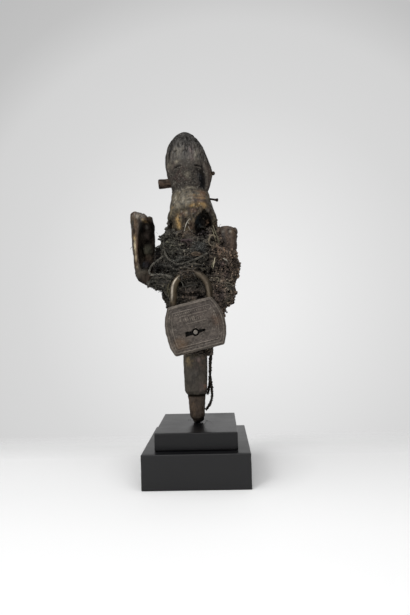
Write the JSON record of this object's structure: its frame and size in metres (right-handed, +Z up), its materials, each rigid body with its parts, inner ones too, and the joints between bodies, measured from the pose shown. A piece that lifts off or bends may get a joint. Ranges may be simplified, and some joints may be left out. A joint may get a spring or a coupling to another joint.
{
  "type": "power figure",
  "caption": "Carved wooden power figure on a tapered stake, bound with cord and crust between side billets, hung with a padlock, on a stepped black plinth.",
  "frame": {"origin": "centre of the lower plinth's underside", "axes": "+Z up along the figure, front of the figure towards -Y, +X to the viewer's right"},
  "size_m": [0.1135, 0.115, 0.3476],
  "materials": {
    "black_paint": "satin black lacquer over wood",
    "dark_wood": "dark patinated carved wood, partly crusted",
    "brown_wood": "handled brown wood with a dull polish",
    "peg_wood": "cut wooden peg, dark",
    "crusted_fibre": "string and cloth bindings under a grainy crust",
    "string": "twisted two-ply string, grey with dirt",
    "aged_steel": "worn brown steel with rust bloom",
    "bronze": "rubbed, darkened bronze",
    "rusty_iron": "rusty iron nail"
  },
  "bodies": {
    "root": {"plinth_lower": "black_paint", "plinth_upper": "black_paint", "figure": "dark_wood", "cheek_peg": "peg_wood", "temple_peg": "peg_wood", "neck_nail": "rusty_iron", "left_billet": "brown_wood", "right_billet": "brown_wood", "bundle": "crusted_fibre", "padlock_case": "aged_steel", "padlock_keyhole_pin": "bronze", "padlock_shackle": "bronze", "hanging_cord": "string", "hanging_cord_short": "string", "side_loop_cord": "string", "draped_cord": "string"}
  },
  "joints": []
}
